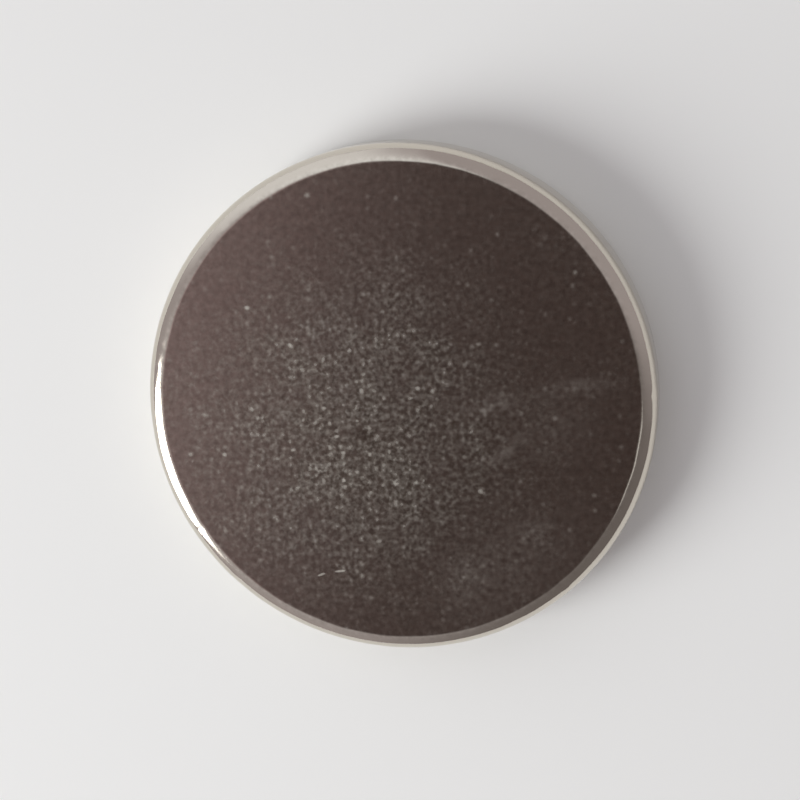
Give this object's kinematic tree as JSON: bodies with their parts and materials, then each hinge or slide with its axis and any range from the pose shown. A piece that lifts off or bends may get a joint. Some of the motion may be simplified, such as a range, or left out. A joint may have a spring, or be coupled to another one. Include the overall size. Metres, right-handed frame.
{
  "type": "disc magnet",
  "caption": "Flat round disc magnet in bright nickel plate, with two flat faces, a straight polished wall and rounded edges, for holding, catching and closing.",
  "frame": {"origin": "centre of the lower flat face, which the disc lies on", "axes": "+Z along the disc's axis, up through the upper flat face; X and Y lie in the lower face, and the disc is the same all round"},
  "size_m": [0.035, 0.035, 0.005],
  "materials": {
    "bright_nickel": "bright nickel plate, semi-gloss with a very fine grain on the two ground faces, near mirror on the wall and the edge rounds"
  },
  "bodies": {
    "root": {"disc_magnet": "bright_nickel"}
  },
  "joints": []
}
